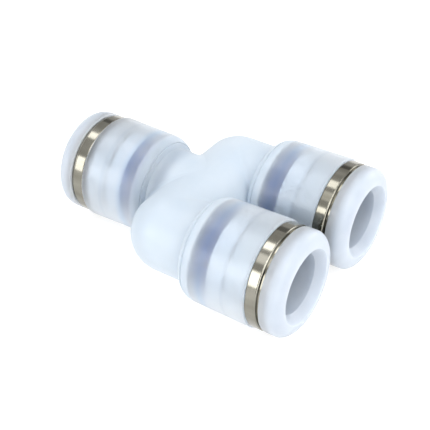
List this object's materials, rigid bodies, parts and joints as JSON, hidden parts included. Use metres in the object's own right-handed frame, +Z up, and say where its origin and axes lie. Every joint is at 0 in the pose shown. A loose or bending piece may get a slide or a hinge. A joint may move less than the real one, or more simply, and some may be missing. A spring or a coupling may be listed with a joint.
{
  "type": "push-in tube y connector",
  "caption": "Translucent push-in Y connector joining one tube to two parallel tubes, with a sliding release ring at each port.",
  "frame": {"origin": "on the surface that the connector lies on, below the middle of its length and width", "axes": "+X from the stem port to the branch ports, +Y to the left branch, +Z up"},
  "size_m": [0.0412, 0.0306, 0.0146],
  "materials": {
    "body": "translucent polypropylene, lightly frosted",
    "release_ring": "white acetal, satin",
    "guide_ring": "nickel-plated brass, polished",
    "lock_claw": "stainless spring sheet",
    "backup_ring": "white acetal",
    "seal": "black nitrile rubber"
  },
  "bodies": {
    "housing": {"body": "body", "stem_guide_ring": "guide_ring", "stem_lock_claw": "lock_claw", "stem_backup_ring": "backup_ring", "stem_seal": "seal", "left_branch_guide_ring": "guide_ring", "left_branch_lock_claw": "lock_claw", "left_branch_backup_ring": "backup_ring", "left_branch_seal": "seal", "right_branch_guide_ring": "guide_ring", "right_branch_lock_claw": "lock_claw", "right_branch_backup_ring": "backup_ring", "right_branch_seal": "seal"},
    "stem_release": {"stem_release_ring": "release_ring"},
    "left_branch_release": {"left_branch_release_ring": "release_ring"},
    "right_branch_release": {"right_branch_release_ring": "release_ring"}
  },
  "joints": [
    {"name": "stem_release_slide", "type": "slide", "parent": "housing", "child": "stem_release", "axis": [1, 0, 0], "range_m": [0, 0.00035], "stiffness_N_per_m": 500},
    {"name": "left_branch_release_slide", "type": "slide", "parent": "housing", "child": "left_branch_release", "axis": [-1, 0, 0], "range_m": [0, 0.00035], "stiffness_N_per_m": 500},
    {"name": "right_branch_release_slide", "type": "slide", "parent": "housing", "child": "right_branch_release", "axis": [-1, 0, 0], "range_m": [0, 0.00035], "stiffness_N_per_m": 500}
  ]
}
